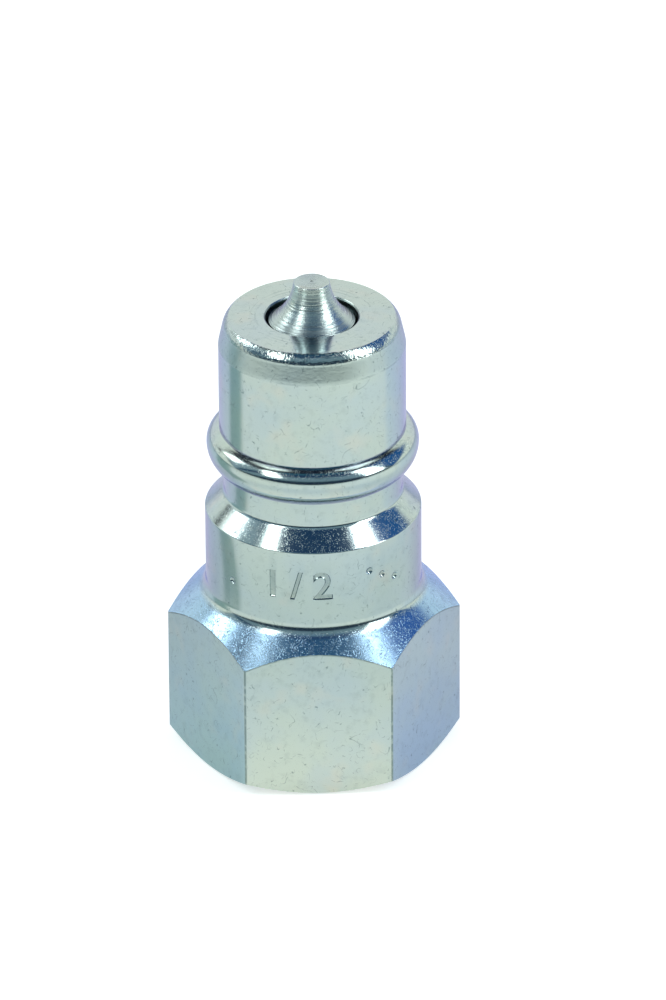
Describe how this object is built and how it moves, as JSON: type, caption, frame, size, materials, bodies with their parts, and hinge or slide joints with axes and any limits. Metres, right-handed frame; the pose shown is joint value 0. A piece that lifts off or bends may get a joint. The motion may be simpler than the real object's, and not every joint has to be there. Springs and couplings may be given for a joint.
{
  "type": "hydraulic quick coupling nipple",
  "caption": "Male half of a half inch hydraulic quick coupling: turned hexagon body with collar, ball groove, locking bead and nose, and a spring loaded poppet valve with flared tip.",
  "frame": {"origin": "centre of the hexagon's end face, on the axis, where the part stands", "axes": "+Z along the axis from the threaded port to the nose and valve tip; one hexagon flat faces -Y, corners on +X and -X"},
  "size_m": [0.0322, 0.028, 0.0562],
  "materials": {
    "zinc_plated_steel": "bright zinc plating with a faint blue tint",
    "valve_steel": "turned and zinc plated",
    "spring_steel": "drawn wire",
    "seal_rubber": "matt black nitrile"
  },
  "bodies": {
    "body": {"nipple_body": "zinc_plated_steel", "valve_guide": "valve_steel", "retaining_ring": "spring_steel", "valve_spring": "spring_steel"},
    "poppet": {"poppet_valve": "valve_steel", "poppet_seal": "seal_rubber"}
  },
  "joints": [
    {"name": "poppet_slide", "type": "slide", "parent": "body", "child": "poppet", "axis": [0, 0, -1], "range_m": [0, 0.0055], "stiffness_N_per_m": 1500, "springref_m": -0.008, "deforming": ["valve_spring"]}
  ]
}
